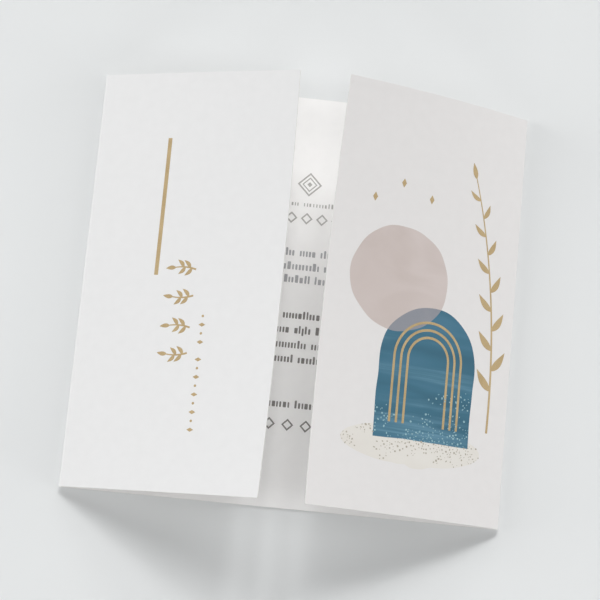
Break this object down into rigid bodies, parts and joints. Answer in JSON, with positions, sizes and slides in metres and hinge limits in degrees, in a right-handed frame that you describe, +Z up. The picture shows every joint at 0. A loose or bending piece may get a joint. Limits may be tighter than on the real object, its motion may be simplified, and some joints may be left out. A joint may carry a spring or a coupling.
{
  "type": "greeting card",
  "caption": "Gatefold greeting card of white board, lying on its back panel with both front flaps half open over a printed inside.",
  "frame": {"origin": "under the middle of the closed card, on the surface that the back panel lies on", "axes": "+X to the right as the card is read, from one crease to the other; +Y along the creases towards the head of the card; +Z up, out of the back panel towards the flaps"},
  "size_m": [0.14, 0.1354, 0.0314],
  "materials": {
    "board": "matte",
    "gold_print": "satin",
    "ink_print": "matte"
  },
  "bodies": {
    "root": {"card": "board"}
  },
  "joints": []
}
